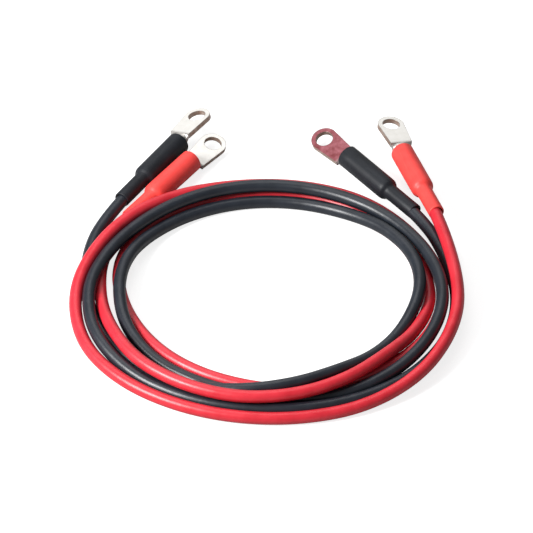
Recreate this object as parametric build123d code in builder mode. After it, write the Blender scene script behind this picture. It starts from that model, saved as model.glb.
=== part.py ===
from build123d import *
import os
from math import cos, pi, radians, sin, tan

# Two battery and inverter leads, one black and one red, wound together into one loose flat coil.
# Each lead is a fine-strand copper conductor in a jacket. On each end it has a tinned copper
# ring lug, crimped on and sealed by a heat-shrink sleeve with a hot-melt lining.
# Millimetres. +Z is up, the coil lies on the plane z = 0, and the lugs point towards +Y.

# Cable
jacket_r = 3.85
conductor_r = 2.8
conductor_gap = 0.04            # between the strands and the jacket around them
floor_z = jacket_r              # centre line of a turn that lies on the floor
pile_z = 7.95                   # how much higher the centre line of a turn lies on another turn

# Tubular ring lug, M10 stud
tube_r = 5.4
tube_bore_r = 3.7
palm_width = 16.2
palm_root_width = 13.4          # the palm narrows towards the barrel
palm_thickness = 3.0
palm_overlap = 0.6              # the palm runs this far into the flare
stud_hole_r = 5.25
barrel_length = 38.0            # the stretch of tube under the sleeve's large part
neck_length = 0.5               # round tube showing in front of the sleeve
flare_length = 3.5              # the tube closes to the flat palm over this length
hole_to_front = 23.0            # from the sleeve's front rim to the stud hole
crimp_flats = 9.2               # across flats of the hexagonal crimps
crimp_width = 7.0
crimp_places = (10.0, 24.0)      # start of each crimp, from the mouth of the barrel
crimp_bore_r = 2.86
conductor_depth = 34.0          # how far the stripped strands reach into the barrel

# Heat-shrink sleeve and its lining
sleeve_big_r = 6.9
sleeve_big_bore_r = 6.15
sleeve_small_r = 4.8
sleeve_small_bore_r = 4.25
small_length = 25.5             # the stretch shrunk onto the cable
front_lip = 0.6                 # the sleeve stands this much past the end of the covered barrel
shoulder_round = 1.9
rim_round = 0.3
lining_gap = 0.05
jacket_gap = 0.2                # between the lining and the jacket, which starts to bend in there

# Coil, about its own centre
coil_x = 0.9                    # centre of the turns from the middle of the footprint
coil_y = -29.6
lane_step = 20.0                # degrees from one point of a turn to the next
first_run = 34.0                # straight stretch from the mouth of a barrel to the first bend
black_start = 180.0
red_start = 160.0
lead_in_angle = 155.0           # one more bend of the black lead, between its sleeve and the coil
lead_in_radius = 118.0

# Each turn as (radius, layer) every lane_step degrees. Layer 0 lies on the floor and
# layer 1 on another turn. The leads cross and swap places, as two leads wound by hand do.
black_lanes = [
    (108, 0), (103, 0), (98.5, 0), (95.5, 0.2), (94, 0.9), (89.5, 1.1), (83.5, 0.8), (81.5, 0.05), (84, 0),
    (90.6, 0.95), (92.6, 1), (91.5, 0.9), (92.4, 0.25), (93.9, 0), (93.8, 0), (93.5, 0), (92.4, 0.2), (90, 0.9),
    (89, 1.05), (89.5, 0.5), (88, 0), (87.5, 0), (89, 0), (94.5, 0), (99, 0), (103, 0.4), (105, 0.9),
    (104.2, 1.05), (101.4, 1), (99.7, 1), (99.1, 1), (99.3, 1), (99.6, 1), (99.4, 1), (99.2, 1), (101.8, 1.1),
    (107.5, 1.1), (110, 0.65), (106.8, 0.05), (103.8, 0), (102.4, 0), (103.2, 0), (107, 0), (110.5, 0), (112.2, 0),
    (112.5, 0), (112.6, 0),
]
red_lanes = [
    (105.6, 0), (99.6, 0.3), (99.4, 1), (101.5, 1), (101.6, 1), (101.8, 1), (98.8, 1), (95, 1.05), (91.3, 0.95),
    (92.4, 0.2), (96.7, 0), (96.8, 0), (98.2, 0), (100.6, 0), (101.8, 0), (101.6, 0), (101.3, 0), (100.6, 0),
    (95.3, 0), (87, 0), (81.6, 0), (79.6, 0), (79.2, 0), (81, 0), (86.2, 0), (90.8, 0), (95.6, 0),
    (100.9, 0), (104.6, 0), (104.8, 0), (106.2, 0), (109.8, 0), (109.8, 0), (109.5, 0.05), (107.9, 0.62), (107, 1.27),
    (109.8, 1.15), (115.5, 0.8), (117.5, 0.05), (114.8, 0), (111.9, 0), (110.7, 0), (111.7, 0), (115, 0.1), (117, 0.6),
    (115, 0.97), (113.5, 1.08),
]

# Each end: front of its sleeve (x, y from the coil's centre, z), the way it points in plan,
# the rise of its front, and the roll of its palm about the lug's own axis, in degrees.
# At roll 0 the palm is flush with the top of the barrel. At roll 180 it is flush with the bottom.
ends = {
    "black_left": ((-54.5, 146.1, 7.3), 57.8, 0.5, -15.0),
    "black_right": ((47.8, 131.4, 8.9), 129.2, 3.0, 162.0),
    "red_left": ((-46.8, 127.6, 8.4), 54.0, 2.2, 190.0),
    "red_right": ((80.9, 133.7, 9.8), 108.5, -2.0, 8.0),
}


def place(x, y, z):
    """A point given from the coil's centre, in the part's frame."""
    return Vector(x + coil_x, y + coil_y, z)


def end_axis(end):
    """The direction of a lug, from its cable towards its tip."""
    heading, rise = radians(end[1]), radians(end[2])
    return Vector(cos(heading) * cos(rise), sin(heading) * cos(rise), sin(rise))


def mouth_of(end):
    """The mouth of a lug's barrel, where the jacket stops."""
    return place(*end[0]) - end_axis(end) * barrel_length


def end_plane(end):
    """At the mouth of the barrel: z along the lug, y out of the palm's flush face."""
    axis = end_axis(end)
    right = axis.cross(Vector(0, 0, 1)).normalized()
    up = right.cross(axis)
    roll = radians(end[3])
    return Plane(origin=mouth_of(end), x_dir=up * sin(roll) - right * cos(roll), z_dir=axis)


def turn_points(lanes, start):
    """Route points along the turns. They stand outside the arc that they make."""
    spread = 1 / cos(radians(lane_step / 2))
    points = []
    for index, (radius, layer) in enumerate(lanes):
        angle = radians(start + index * lane_step)
        reach = radius * spread
        points.append(place(reach * cos(angle), reach * sin(angle), floor_z + pile_z * layer))
    return points


def route_of(first, last, turns):
    """Barrel mouth, first bend, the turns, last bend, barrel mouth."""
    head = [mouth_of(first), mouth_of(first) - end_axis(first) * first_run]
    tail = [mouth_of(last) - end_axis(last) * first_run, mouth_of(last)]
    return head + turns + tail


def bend_radii(points):
    """The largest radius that each corner's two runs allow."""
    radii = []
    for before, corner, after in zip(points, points[1:], points[2:]):
        run_in, run_out = corner - before, after - corner
        half_turn = radians(run_in.get_angle(run_out) / 2)
        radii.append(0.45 * min(run_in.length, run_out.length) / tan(half_turn))
    return radii


def ring_along(points, radii, outer, inner, label):
    """A round tube or rod along straight runs joined by tangent arcs."""
    with BuildPart() as tube:
        with BuildLine() as line:
            FilletPolyline(*points, radius=radii)
        with BuildSketch(Plane(origin=points[0], z_dir=points[1] - points[0])):
            Circle(outer)
            if inner > 0:
                Circle(inner, mode=Mode.SUBTRACT)
        sweep()
    length = line.wire().length
    section = pi * (outer**2 - inner**2)
    print(f"{label}: length {length:.0f}, tightest bend {min(radii):.0f},",
          f"volume over section x length {tube.part.volume / (section * length):.4f}")
    return tube


def lug(plane):
    """Tubular ring lug: a barrel with a stepped bore and two crimps, a flare and a flat palm."""
    palm_start = barrel_length + neck_length + flare_length
    hole_at = barrel_length + hole_to_front
    palm_y = tube_r - palm_thickness / 2
    with BuildPart(plane) as body:
        with BuildSketch(plane):
            Circle(tube_r)
        extrude(amount=barrel_length + neck_length)
        with BuildSketch(plane.offset(barrel_length + neck_length)):
            Circle(tube_r)
        with BuildSketch(plane.offset(palm_start)):
            with Locations((0, palm_y)):
                SlotOverall(palm_root_width, palm_thickness)
        loft()
        palm_back = Plane(origin=plane.from_local_coords((0, palm_y - palm_thickness / 2, palm_start)),
                          x_dir=plane.x_dir, z_dir=plane.y_dir)
        with BuildSketch(palm_back):
            with BuildLine():
                side, root = palm_width / 2, palm_root_width / 2
                straight = hole_at - palm_start
                ThreePointArc((-side, -straight), (0, -straight - side), (side, -straight))
                Polyline((side, -straight), (root, palm_overlap), (-root, palm_overlap), (-side, -straight))
            make_face()
        extrude(amount=palm_thickness)
        with BuildSketch(palm_back):
            with Locations((0, -straight)):
                Circle(stud_hole_r)
        extrude(amount=palm_thickness, mode=Mode.SUBTRACT)
        for start in crimp_places:
            with BuildSketch(plane.offset(start)):
                Circle(tube_r + 1)
                RegularPolygon(crimp_flats / 2, 6, major_radius=False, mode=Mode.SUBTRACT)
            extrude(amount=crimp_width, mode=Mode.SUBTRACT)
        with BuildSketch(plane):
            Circle(crimp_bore_r)
        extrude(amount=barrel_length + neck_length, mode=Mode.SUBTRACT)
        open_stretches = [(0, crimp_places[0] - 1), (crimp_places[0] + crimp_width + 1, crimp_places[1] - 1),
                          (crimp_places[1] + crimp_width + 1, barrel_length + neck_length)]
        for start, stop in open_stretches:
            with BuildSketch(plane.offset(start)):
                Circle(tube_bore_r)
            extrude(amount=stop - start, mode=Mode.SUBTRACT)
    return body


def lining(plane):
    """Hot-melt between the sleeve and both the barrel and the jacket."""
    with BuildPart() as melt:
        with BuildSketch(plane):
            Circle(sleeve_big_bore_r - lining_gap)
            Circle(tube_r + lining_gap, mode=Mode.SUBTRACT)
        extrude(amount=barrel_length)
        with BuildSketch(plane):
            Circle(sleeve_big_bore_r - lining_gap)
            Circle(jacket_r + jacket_gap, mode=Mode.SUBTRACT)
        extrude(amount=-1)
        with BuildSketch(plane):
            Circle(sleeve_small_bore_r - lining_gap)
            Circle(jacket_r + jacket_gap, mode=Mode.SUBTRACT)
        extrude(amount=-small_length)
    return melt


def sleeve(plane):
    """One heat-shrink tube: large over the barrel, small on the cable, a soft shoulder between."""
    front = barrel_length + front_lip
    with BuildPart() as shrink:
        with BuildSketch(Plane(origin=plane.origin, x_dir=plane.x_dir, z_dir=-plane.y_dir)):
            with BuildLine():
                Polyline((sleeve_big_bore_r, front), (sleeve_big_r, front), (sleeve_big_r, -1.8),
                         (sleeve_small_r, -1.8), (sleeve_small_r, -small_length),
                         (sleeve_small_bore_r, -small_length), (sleeve_small_bore_r, -1.05),
                         (sleeve_big_bore_r, -1.05), (sleeve_big_bore_r, front))
            make_face()
        revolve(axis=Axis(plane.origin, plane.z_dir))
        rims = shrink.edges().filter_by(GeomType.CIRCLE).group_by(lambda e: round(e.radius, 3))
        outer = rims[-1].sort_by(lambda e: (e.arc_center - plane.origin).dot(plane.z_dir))
        fillet(outer[0], shoulder_round)
        rims = shrink.edges().filter_by(GeomType.CIRCLE).group_by(lambda e: round(e.radius, 3))
        outer = rims[-1].sort_by(lambda e: (e.arc_center - plane.origin).dot(plane.z_dir))
        fillet(outer[-1], rim_round)
    return shrink


os.makedirs("parts", exist_ok=True)
corners = []


def save(piece, name):
    piece.part.label = name
    export_step(piece.part, f"parts/{name}.step")
    box = piece.part.bounding_box()
    corners.extend([box.min, box.max])


# The two cables
routes = {
    "black": ("black_left", "black_right", turn_points(black_lanes, black_start)),
    "red": ("red_left", "red_right", turn_points(red_lanes, red_start)),
}
for colour, (first, last, turns) in routes.items():
    if colour == "black":
        turns = turn_points([(lead_in_radius, 0)], lead_in_angle) + turns
    route = route_of(ends[first], ends[last], turns)
    radii = bend_radii(route)
    save(ring_along(route, radii, jacket_r, conductor_r + conductor_gap, f"{colour} jacket"), f"jacket_{colour}")
    core = [route[0] + end_axis(ends[first]) * conductor_depth] + route[1:-1]
    core = core + [route[-1] + end_axis(ends[last]) * conductor_depth]
    save(ring_along(core, radii, conductor_r, 0, f"{colour} conductor"), f"conductor_{colour}")

# The four ends
for end_name, end in ends.items():
    plane = end_plane(end)
    save(lug(plane), f"ring_lug_{end_name}")
    save(lining(plane), f"hot_melt_lining_{end_name}")
    save(sleeve(plane), f"heat_shrink_sleeve_{end_name}")
    hole = plane.from_local_coords((0, tube_r - palm_thickness / 2, barrel_length + hole_to_front))
    print(f"{end_name}: stud hole at {hole.X:.3f} {hole.Y:.3f} {hole.Z:.3f},",
          f"axis {plane.y_dir.X:.5f} {plane.y_dir.Y:.5f} {plane.y_dir.Z:.5f}")

# The footprint, whose middle is the frame's origin
for side in ("X", "Y", "Z"):
    reach = [getattr(corner, side) for corner in corners]
    print(f"{side}: {min(reach):.2f} to {max(reach):.2f}")
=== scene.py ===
"""Red and black battery leads in one loose coil: camera, light, cables, sleeves, lugs and floor."""
import math

import bpy
from mathutils import Matrix, Vector


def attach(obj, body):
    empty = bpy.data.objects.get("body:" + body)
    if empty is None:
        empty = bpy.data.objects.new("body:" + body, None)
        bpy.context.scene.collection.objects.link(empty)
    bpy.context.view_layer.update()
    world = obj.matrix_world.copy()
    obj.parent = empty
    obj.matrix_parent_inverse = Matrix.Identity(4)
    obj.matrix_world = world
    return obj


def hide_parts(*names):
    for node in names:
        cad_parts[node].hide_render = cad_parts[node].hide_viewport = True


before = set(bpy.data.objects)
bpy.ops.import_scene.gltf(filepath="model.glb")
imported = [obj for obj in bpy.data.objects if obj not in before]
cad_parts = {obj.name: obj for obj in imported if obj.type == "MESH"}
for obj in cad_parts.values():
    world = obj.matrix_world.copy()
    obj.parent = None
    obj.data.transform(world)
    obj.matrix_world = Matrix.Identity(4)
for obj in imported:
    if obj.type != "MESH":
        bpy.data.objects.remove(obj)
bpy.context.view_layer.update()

MM = 0.001

# ---------------------------------------------------------------- sizes in millimetres, as in part.py
jacket_r = 3.85
floor_z = jacket_r              # centre line of a turn that lies on the floor
pile_z = 7.95                   # how much higher the centre line of a turn lies on another turn
barrel_length = 38.0            # the stretch of tube under the sleeve's large part
neck_length = 0.5               # round tube showing in front of the sleeve
flare_length = 3.5              # the tube closes to the flat palm over this length
palm_start = barrel_length + neck_length + flare_length
sleeve_big_r = 6.9
sleeve_big_bore_r = 6.15
sleeve_small_r = 4.8
sleeve_small_bore_r = 4.25
small_length = 25.5             # the stretch shrunk onto the cable
front_lip = 0.6                 # the sleeve stands this much past the end of the covered barrel

# ---------------------------------------------------------------- the leads' route, as in part.py
coil_x = 0.9                    # centre of the turns from the middle of the footprint
coil_y = -29.6
first_run = 34.0                # straight stretch from the mouth of a barrel to the first bend
lane_step = 20.0                # degrees from one point of a turn to the next
black_start = 180.0
red_start = 160.0
lead_in_angle = 155.0           # one more bend of the black lead, between its sleeve and the coil
lead_in_radius = 118.0

# Each turn as (radius, layer) every lane_step degrees. Layer 0 lies on the floor and
# layer 1 on another turn. The leads cross and swap places, as two leads wound by hand do.
black_lanes = [
    (108, 0), (103, 0), (98.5, 0), (95.5, 0.2), (94, 0.9), (89.5, 1.1), (83.5, 0.8),
    (81.5, 0.05), (84, 0), (90.6, 0.95), (92.6, 1), (91.5, 0.9), (92.4, 0.25), (93.9, 0),
    (93.8, 0), (93.5, 0), (92.4, 0.2), (90, 0.9), (89, 1.05), (89.5, 0.5), (88, 0),
    (87.5, 0), (89, 0), (94.5, 0), (99, 0), (103, 0.4), (105, 0.9), (104.2, 1.05),
    (101.4, 1), (99.7, 1), (99.1, 1), (99.3, 1), (99.6, 1), (99.4, 1), (99.2, 1),
    (101.8, 1.1), (107.5, 1.1), (110, 0.65), (106.8, 0.05), (103.8, 0), (102.4, 0), (103.2, 0),
    (107, 0), (110.5, 0), (112.2, 0), (112.5, 0), (112.6, 0),
]
red_lanes = [
    (105.6, 0), (99.6, 0.3), (99.4, 1), (101.5, 1), (101.6, 1), (101.8, 1), (98.8, 1),
    (95, 1.05), (91.3, 0.95), (92.4, 0.2), (96.7, 0), (96.8, 0), (98.2, 0), (100.6, 0),
    (101.8, 0), (101.6, 0), (101.3, 0), (100.6, 0), (95.3, 0), (87, 0), (81.6, 0),
    (79.6, 0), (79.2, 0), (81, 0), (86.2, 0), (90.8, 0), (95.6, 0), (100.9, 0),
    (104.6, 0), (104.8, 0), (106.2, 0), (109.8, 0), (109.8, 0), (109.5, 0.05), (107.9, 0.62),
    (107, 1.27), (109.8, 1.15), (115.5, 0.8), (117.5, 0.05), (114.8, 0), (111.9, 0), (110.7, 0),
    (111.7, 0), (115, 0.1), (117, 0.6), (115, 0.97), (113.5, 1.08),
]

# Each end: front of its sleeve (x, y from the coil's centre, z), the way it points in plan,
# the rise of its front, and the roll of its palm about the lug's own axis, in degrees.
# At roll 0 the palm is flush with the top of the barrel. At roll 180 it is flush with the bottom.
ends = {
    "black_left": ((-54.5, 146.1, 7.3), 57.8, 0.5, -15.0),
    "black_right": ((47.8, 131.4, 8.9), 129.2, 3.0, 162.0),
    "red_left": ((-46.8, 127.6, 8.4), 54.0, 2.2, 190.0),
    "red_right": ((80.9, 133.7, 9.8), 108.5, -2.0, 8.0),
}

END_NAMES = ("black_left", "black_right", "red_left", "red_right")


def place(x, y, z):
    """A point given in millimetres from the coil's centre, in the frame's metres."""
    return Vector((x + coil_x, y + coil_y, z)) * MM


def end_axis(end):
    """The direction of a lug, from its cable towards its tip."""
    heading, rise = math.radians(end[1]), math.radians(end[2])
    return Vector((math.cos(heading) * math.cos(rise), math.sin(heading) * math.cos(rise), math.sin(rise)))


def mouth_of(end):
    """Where the cable goes into the barrel."""
    return place(*end[0]) - end_axis(end) * barrel_length * MM


def end_matrix(end):
    """At the mouth of the barrel: z along the lug, y out of the palm's flush face."""
    axis = end_axis(end)
    right = axis.cross(Vector((0, 0, 1))).normalized()
    up = right.cross(axis)
    roll = math.radians(end[3])
    x_dir = up * math.sin(roll) - right * math.cos(roll)
    y_dir = axis.cross(x_dir)
    turn = Matrix((x_dir, y_dir, axis)).transposed().to_4x4()
    return Matrix.Translation(mouth_of(end)) @ turn


def turn_points(lanes, start):
    """Route points along the turns. They stand outside the arc that they make."""
    spread = 1 / math.cos(math.radians(lane_step / 2))
    points = []
    for index, (radius, layer) in enumerate(lanes):
        angle = math.radians(start + index * lane_step)
        reach = radius * spread
        points.append(place(reach * math.cos(angle), reach * math.sin(angle), floor_z + pile_z * layer))
    return points


def route_of(first, last, turns):
    """Barrel mouth, first bend, the turns, last bend, barrel mouth."""
    head = [mouth_of(first), mouth_of(first) - end_axis(first) * first_run * MM]
    tail = [mouth_of(last) - end_axis(last) * first_run * MM, mouth_of(last)]
    return head + turns + tail


# ---------------------------------------------------------------- camera
ELEVATION = math.radians(39.05)
LENS_MM = 1200.0
SENSOR_MM = 36.0
CLIP_END = 100.0
FRAME_WIDTH = 0.3198                    # metres seen across the picture
LOOK_AT = Vector((-0.0003, 0.0023, 0.0039))

distance = FRAME_WIDTH * LENS_MM / SENSOR_MM
camera_data = bpy.data.cameras.new("camera")
camera_data.lens = LENS_MM
camera_data.sensor_width = SENSOR_MM
camera_data.clip_end = CLIP_END
camera = bpy.data.objects.new("camera", camera_data)
bpy.context.scene.collection.objects.link(camera)
away = Vector((0.0, -math.cos(ELEVATION), math.sin(ELEVATION)))
camera.location = LOOK_AT + away * distance
camera.rotation_euler = away.to_track_quat("Z", "Y").to_euler()
bpy.context.scene.camera = camera


# ---------------------------------------------------------------- material helpers
class Shader:
    """A short way to write a node tree."""

    def __init__(self, name):
        self.material = bpy.data.materials.new(name)
        self.material.use_nodes = True
        self.tree = self.material.node_tree
        self.bsdf = self.tree.nodes["Principled BSDF"]

    def node(self, kind, **values):
        """A new node with its settings."""
        made = self.tree.nodes.new(kind)
        for key, value in values.items():
            setattr(made, key, value)
        return made

    def link(self, source, target):
        self.tree.links.new(source, target)

    def set(self, **values):
        """Fixed values of the Principled BSDF, with _ for a space."""
        for key, value in values.items():
            self.bsdf.inputs[key.replace("_", " ")].default_value = value

    def position(self):
        return self.node("ShaderNodeTexCoord").outputs["Object"]

    def own_position(self, scale):
        """The place on the tube itself, with z along it."""
        attribute = self.node("ShaderNodeAttribute", attribute_name="own_place")
        mapping = self.node("ShaderNodeMapping")
        mapping.inputs["Scale"].default_value = scale
        self.link(attribute.outputs["Vector"], mapping.inputs["Vector"])
        return mapping.outputs["Vector"]

    def noise(self, vector, scale, detail=4.0, roughness=0.55):
        made = self.node("ShaderNodeTexNoise")
        made.inputs["Scale"].default_value = scale
        made.inputs["Detail"].default_value = detail
        made.inputs["Roughness"].default_value = roughness
        self.link(vector, made.inputs["Vector"])
        return made.outputs["Fac"]

    def ramp(self, factor, stops):
        """Colours at places between 0 and 1."""
        made = self.node("ShaderNodeValToRGB")
        elements = made.color_ramp.elements
        while len(elements) < len(stops):
            elements.new(0.5)
        for element, (at, colour) in zip(elements, stops):
            element.position = at
            element.color = (*colour, 1.0)
        self.link(factor, made.inputs["Fac"])
        return made.outputs["Color"]

    def feed(self, source, target):
        """The source is another node's output or a fixed value."""
        if hasattr(source, "links"):
            self.link(source, target)
        else:
            target.default_value = source

    def mix(self, factor, first, second):
        made = self.node("ShaderNodeMix", data_type="RGBA")
        # The node has sockets for every data type. These are the ones for colours.
        for source, target in ((factor, 0), (first, 6), (second, 7)):
            self.feed(source, made.inputs[target])
        return made.outputs[2]

    def math(self, operation, first, second=0.0):
        made = self.node("ShaderNodeMath", operation=operation)
        for source, target in zip((first, second), made.inputs):
            self.feed(source, target)
        return made.outputs[0]

    def dot(self, source, direction):
        """How far the source reaches in a direction."""
        made = self.node("ShaderNodeVectorMath", operation="DOT_PRODUCT")
        self.feed(source, made.inputs[0])
        self.feed(direction, made.inputs[1])
        return made.outputs["Value"]

    def map_range(self, source, low, high, to_low, to_high):
        made = self.node("ShaderNodeMapRange")
        named = {"Value": source, "From Min": low, "From Max": high, "To Min": to_low, "To Max": to_high}
        for key, value in named.items():
            self.feed(value, made.inputs[key])
        return made.outputs["Result"]

    def bump(self, height, distance, strength=1.0, under=None):
        made = self.node("ShaderNodeBump")
        made.inputs["Distance"].default_value = distance
        made.inputs["Strength"].default_value = strength
        self.link(height, made.inputs["Height"])
        if under is not None:
            self.link(under, made.inputs["Normal"])
        return made.outputs["Normal"]


JACKET_ROUGHNESS = (0.32, 0.42)
JACKET_SPECULAR = 0.5
SLEEVE_ROUGHNESS = 0.46


def jacket_material(name, dark, light):
    """Soft cable jacket: slight mottling, a skin of fine extrusion grain and a satin gloss.

    Noise scales are per metre, so 90 makes blotches of about a centimetre. Bump distances are in metres.
    """
    shader = Shader(name)
    position = shader.position()
    mottle = shader.noise(position, 90.0)
    shader.link(shader.ramp(mottle, ((0.35, dark), (0.65, light))), shader.bsdf.inputs["Base Color"])
    grain = shader.noise(position, 2600.0, 3.0, 0.6)
    swell = shader.noise(position, 160.0, 2.0)
    low = shader.bump(swell, 0.0004, 0.35)
    shader.link(shader.bump(grain, 0.00005, 0.35, low), shader.bsdf.inputs["Normal"])
    rough = shader.map_range(shader.noise(position, 240.0), 0.0, 1.0, *JACKET_ROUGHNESS)
    shader.link(rough, shader.bsdf.inputs["Roughness"])
    shader.set(Specular_IOR_Level=JACKET_SPECULAR)
    return shader.material


def sleeve_material(name, dark, light, gloss):
    """Shrunk polyolefin: fine streaks along the tube, a faint orange-peel skin. Gloss is its specular level."""
    shader = Shader(name)
    along = shader.own_position((1.0, 1.0, 0.06))
    streaks = shader.noise(along, 1500.0, 3.0)
    cloud = shader.noise(shader.position(), 120.0)
    both = shader.math("ADD", shader.math("MULTIPLY", streaks, 0.45), shader.math("MULTIPLY", cloud, 0.55))
    shader.link(shader.ramp(both, ((0.35, dark), (0.65, light))), shader.bsdf.inputs["Base Color"])
    peel = shader.noise(shader.own_position((1.0, 1.0, 0.5)), 700.0, 2.0)
    skin = shader.bump(peel, 0.00015, 0.25)
    shader.link(shader.bump(streaks, 0.00006, 0.5, skin), shader.bsdf.inputs["Normal"])
    shader.set(Roughness=SLEEVE_ROUGHNESS, Specular_IOR_Level=gloss)
    return shader.material


COPPER_DARK, COPPER_LIGHT = (0.34, 0.22, 0.17), (0.50, 0.40, 0.34)
# Painted shade: a dark line along the sharp edges of the lugs.
EDGE_PAINTED_SHADE = (0.16, 0.14, 0.13, 1.0)
# Painted shade at the root of the palm, where the barrel is crushed flat.
ROOT_PAINTED_SHADE = (0.34, 0.32, 0.30, 1.0)
EDGE_ROUND = 0.0005                     # metres, how wide the painted dark line along a sharp edge is; the rounded normals use it too
FACE_ON = 0.35                          # a surface squarer to the palm than this is a punched edge


def tinned_material(name, end, face_dark, face_light):
    """Tin over copper: faintly cloudy faces, brushed lengthwise, with copper showing on punched edges, and
    painted shade along the sharp edges and at the root.
    """
    shader = Shader(name)
    matrix = end_matrix(end)
    across, out, along = (matrix.col[i].to_3d() for i in range(3))
    from_mouth = shader.node("ShaderNodeVectorMath", operation="SUBTRACT")
    shader.link(shader.position(), from_mouth.inputs[0])
    from_mouth.inputs[1].default_value = matrix.translation
    place_across = shader.dot(from_mouth.outputs["Vector"], across)
    place_along = shader.dot(from_mouth.outputs["Vector"], along)
    own = shader.node("ShaderNodeCombineXYZ")
    shader.link(place_across, own.inputs["X"])
    shader.link(shader.math("MULTIPLY", place_along, 0.08), own.inputs["Z"])
    cloud = shader.noise(shader.position(), 260.0)
    face = shader.ramp(cloud, ((0.3, face_dark), (0.7, face_light)))
    # Punched edges and the stud hole's wall look square to the palm.
    normal = shader.node("ShaderNodeNewGeometry").outputs["True Normal"]
    flat = shader.math("ABSOLUTE", shader.dot(normal, out))
    edge = shader.math("MULTIPLY", shader.math("LESS_THAN", flat, FACE_ON),
                       shader.math("GREATER_THAN", place_along, palm_start * MM))
    copper = shader.ramp(cloud, ((0.35, COPPER_DARK), (0.65, COPPER_LIGHT)))
    worn = shader.mix(edge, face, copper)
    # Painted shade darkens the root, where the barrel is crushed flat.
    root = shader.map_range(place_along, (palm_start - 1.0) * MM, (palm_start + 1.5) * MM, 0.75, 0.0)
    root_shaded = shader.mix(root, worn, ROOT_PAINTED_SHADE)
    # Painted shade: a dark line along the sharp edges.
    rounded = shader.node("ShaderNodeBevel", samples=6)
    rounded.inputs["Radius"].default_value = EDGE_ROUND
    facing = shader.dot(rounded.outputs["Normal"], normal)
    sharp = shader.ramp(facing, ((0.90, (1.0, 1.0, 1.0)), (0.995, (0.0, 0.0, 0.0))))
    sharp = shader.math("MULTIPLY", sharp, 0.8)
    shader.link(shader.mix(sharp, root_shaded, EDGE_PAINTED_SHADE), shader.bsdf.inputs["Base Color"])
    scratches = shader.noise(own.outputs["Vector"], 2200.0, 3.0)
    shader.link(shader.bump(scratches, 0.00003, 0.4, rounded.outputs["Normal"]), shader.bsdf.inputs["Normal"])
    shader.set(Metallic=0.6, Roughness=0.34)
    return shader.material


def plain_detail_material(name, dark, light, roughness, metallic=0.0, scale=400.0):
    """For the pieces inside: mottled colour and a matching bump."""
    shader = Shader(name)
    position = shader.position()
    mottle = shader.noise(position, scale)
    shader.link(shader.ramp(mottle, ((0.3, dark), (0.7, light))), shader.bsdf.inputs["Base Color"])
    shader.link(shader.bump(mottle, 0.0002, 0.4), shader.bsdf.inputs["Normal"])
    shader.set(Roughness=roughness, Metallic=metallic)
    return shader.material


jacket_looks = {
    "black": jacket_material("jacket_black", (0.009, 0.012, 0.018), (0.015, 0.019, 0.027)),
    "red": jacket_material("jacket_red", (0.54, 0.015, 0.028), (0.63, 0.024, 0.040)),
}
sleeve_looks = {
    "black": sleeve_material("sleeve_black", (0.009, 0.011, 0.014), (0.016, 0.018, 0.023), 0.24),
    "red": sleeve_material("sleeve_red", (0.78, 0.052, 0.046), (0.86, 0.070, 0.060), 0.35),
}
TIN_DARK, TIN_LIGHT = (0.87, 0.85, 0.80), (0.96, 0.94, 0.90)
# Painted reflection: the leads' red, on one lug's face.
RED_REFLECTION_DARK, RED_REFLECTION_LIGHT = (0.16, 0.028, 0.033), (0.33, 0.11, 0.13)
tinned_looks = {
    name: tinned_material(f"tinned_{name}", ends[name], TIN_DARK, TIN_LIGHT)
    for name in END_NAMES if name != "black_right"
}
# Painted reflection: one lug's face is coloured with the leads' red, as if it mirrored them.
tinned_looks["black_right"] = tinned_material("tinned_red_reflection", ends["black_right"], RED_REFLECTION_DARK, RED_REFLECTION_LIGHT)
copper_look = plain_detail_material("copper_strands", (0.62, 0.26, 0.14), (0.85, 0.42, 0.26), 0.35,
                                    metallic=1.0, scale=1500.0)
melt_look = plain_detail_material("hot_melt", (0.42, 0.34, 0.22), (0.58, 0.48, 0.32), 0.35)


def give(node, look):
    """The CAD node keeps its mesh and gets a look."""
    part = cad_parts[node]
    part = bpy.data.objects[part] if isinstance(part, str) else part
    part.data.materials.clear()
    part.data.materials.append(look)


# ---------------------------------------------------------------- the two cables
BEVEL_RESOLUTION = 8
CURVE_RESOLUTION = 16


def cable(colour, first, last, turns):
    """One cable from barrel to barrel, in place of the CAD jacket."""
    curve = bpy.data.curves.new(f"cable_{colour}", "CURVE")
    curve.dimensions = "3D"
    curve.bevel_depth = jacket_r * MM
    curve.bevel_resolution = BEVEL_RESOLUTION
    curve.use_fill_caps = True
    curve.resolution_u = CURVE_RESOLUTION
    points = route_of(ends[first], ends[last], turns)
    spline = curve.splines.new("NURBS")
    spline.points.add(len(points) - 1)
    for at, point in zip(spline.points, points):
        at.co = (*point, 1.0)
    spline.use_endpoint_u = True
    spline.order_u = 3
    curve.materials.append(jacket_looks[colour])
    piece = bpy.data.objects.new(f"cable_{colour}", curve)
    bpy.context.scene.collection.objects.link(piece)
    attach(piece, "root")
    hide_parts(f"jacket_{colour}")
    return piece


black_turns = turn_points([(lead_in_radius, 0)], lead_in_angle) + turn_points(black_lanes, black_start)
red_turns = turn_points(red_lanes, red_start)
cables = {
    "black": cable("black", "black_left", "black_right", black_turns),
    "red": cable("red", "red_left", "red_right", red_turns),
}

# ---------------------------------------------------------------- sleeves
RIM_STEPS = 72


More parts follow.
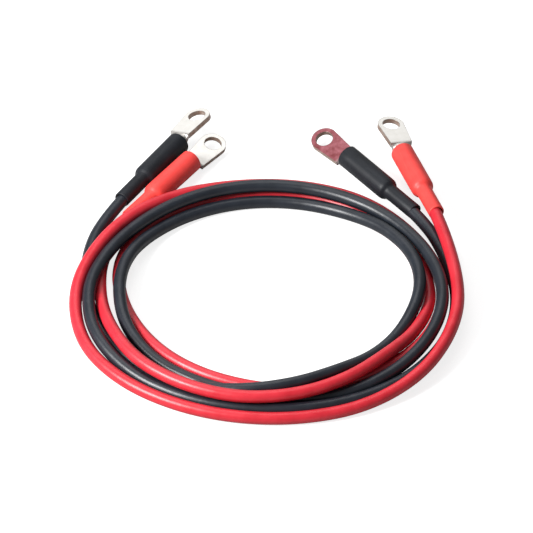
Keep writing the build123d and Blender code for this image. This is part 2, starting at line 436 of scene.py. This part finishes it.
def lathe(name, profile, matrix, look, wobble):
    """A turned skin. The profile is (radius, along, sway) in millimetres and closes on itself."""
    verts, local, faces = [], [], []
    for radius, along, sway in profile:
        for step in range(RIM_STEPS):
            angle = 2 * math.pi * step / RIM_STEPS
            waver = sway * math.sin(3 * angle + wobble)
            waver += 0.5 * sway * math.sin(5 * angle + 2.3 * wobble + along)
            spot = Vector((radius * math.cos(angle), radius * math.sin(angle), along + waver)) * MM
            verts.append(matrix @ spot)
            local.append(spot)
    for ring in range(len(profile)):
        after = (ring + 1) % len(profile)
        for step in range(RIM_STEPS):
            beside = (step + 1) % RIM_STEPS
            faces.append((ring * RIM_STEPS + step, ring * RIM_STEPS + beside,
                          after * RIM_STEPS + beside, after * RIM_STEPS + step))
    mesh = bpy.data.meshes.new(name)
    mesh.from_pydata(verts, [], faces)
    mesh.materials.append(look)
    mesh.polygons.foreach_set("use_smooth", [True] * len(mesh.polygons))
    mesh.update()
    own_place = mesh.attributes.new("own_place", "FLOAT_VECTOR", "POINT")
    own_place.data.foreach_set("vector", [value for spot in local for value in spot])
    piece = bpy.data.objects.new(name, mesh)
    bpy.context.scene.collection.objects.link(piece)
    return piece


def sleeve_profile():
    """Outside from the front rim back over the barrel, the shoulder and the small part, then the bore."""
    front, back = barrel_length + front_lip, -small_length
    big, small, big_bore, small_bore = sleeve_big_r, sleeve_small_r, sleeve_big_bore_r, sleeve_small_bore_r
    front_rim = [(big - 0.25, front - 0.02, 0.02), (big - 0.08, front - 0.12, 0.02), (big, front - 0.4, 0)]
    large = [(big, front - 6, 0), (big, 20, 0), (big, 8, 0), (big, 2.5, 0), (big - 0.04, 0.9, 0)]
    shoulder = [(big - 0.25, -0.2, 0.1), (big - 0.7, -1.2, 0.12), (small + 0.65, -2.0, 0.12),
                (small + 0.25, -2.7, 0.1), (small + 0.06, -4.0, 0)]
    narrow = [(small, -6.5, 0), (small, -15, 0), (small, back + 0.3, 0)]
    back_rim = [(small - 0.1, back - 0.2, 0.04), (small - 0.35, back - 0.4, 0.04),
                (jacket_r + 0.08, back - 0.42, 0.03), (jacket_r + 0.06, back - 0.1, 0)]
    bore = [(small_bore, back - 0.06, 0), (small_bore, back + 0.3, 0), (small_bore, -1.3, 0),
            (big_bore, -0.9, 0), (big_bore, front - 0.3, 0), (big_bore + 0.15, front - 0.03, 0.02)]
    return front_rim + large + shoulder + narrow + back_rim + bore


for index, name in enumerate(END_NAMES):
    colour = name.split("_")[0]
    wobble = 1.7 * index                # each rim is cut a little differently
    sleeve = lathe(f"sleeve_{name}", sleeve_profile(), end_matrix(ends[name]), sleeve_looks[colour], wobble)
    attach(sleeve, "root")
    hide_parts(f"heat_shrink_sleeve_{name}")
    give(f"ring_lug_{name}", tinned_looks[name])
    give(f"hot_melt_lining_{name}", melt_look)
for colour in ("black", "red"):
    give(f"conductor_{colour}", copper_look)

# ---------------------------------------------------------------- floor and light
FLOOR_HALF = 6.0
FLOOR_DARK, FLOOR_LIGHT = (0.42, 0.42, 0.42), (0.44, 0.44, 0.44)
FLOOR_GLOW = 0.80                       # seen by the camera only, so the ground reads as white
WHITE = (1.0, 1.0, 1.0, 1.0)
WORLD_STRENGTH = 0.22
# Name, place in metres, side of the square in metres, power in watts.
SOFTBOXES = (
    ("key", (-0.95, -0.45, 0.80), 0.5, 31.0),
    ("top", (-0.2, 0.5, 1.2), 0.9, 5.0),
    ("back", (0.0, 1.2, 0.62), 0.9, 1.6),
)

floor_mesh = bpy.data.meshes.new("floor")
corners = [(-FLOOR_HALF, -FLOOR_HALF, 0), (FLOOR_HALF, -FLOOR_HALF, 0),
           (FLOOR_HALF, FLOOR_HALF, 0), (-FLOOR_HALF, FLOOR_HALF, 0)]
floor_mesh.from_pydata(corners, [], [(0, 1, 2, 3)])
floor_shader = Shader("floor")
floor_tone = floor_shader.noise(floor_shader.position(), 6.0)
floor_shader.link(floor_shader.ramp(floor_tone, ((0.3, FLOOR_DARK), (0.7, FLOOR_LIGHT))),
                  floor_shader.bsdf.inputs["Base Color"])
floor_shader.set(Roughness=0.9, Emission_Color=WHITE)
seen = floor_shader.node("ShaderNodeLightPath").outputs["Is Camera Ray"]
glow = floor_shader.math("MULTIPLY", seen, FLOOR_GLOW)
floor_shader.link(glow, floor_shader.bsdf.inputs["Emission Strength"])
floor_mesh.materials.append(floor_shader.material)
floor = bpy.data.objects.new("floor", floor_mesh)
bpy.context.scene.collection.objects.link(floor)

world = bpy.data.worlds.new("studio")
world.use_nodes = True
background = world.node_tree.nodes["Background"]
background.inputs["Color"].default_value = WHITE
background.inputs["Strength"].default_value = WORLD_STRENGTH
bpy.context.scene.world = world


def softbox(name, location, size, power):
    """A square lamp that faces the origin."""
    data = bpy.data.lights.new(name, "AREA")
    data.shape = "SQUARE"
    data.size = size
    data.energy = power
    lamp = bpy.data.objects.new(name, data)
    lamp.location = location
    lamp.rotation_euler = Vector(location).to_track_quat("Z", "Y").to_euler()
    bpy.context.scene.collection.objects.link(lamp)


for row in SOFTBOXES:
    softbox(*row)

bpy.context.scene.view_settings.view_transform = "Standard"
bpy.context.scene.view_settings.look = "None"
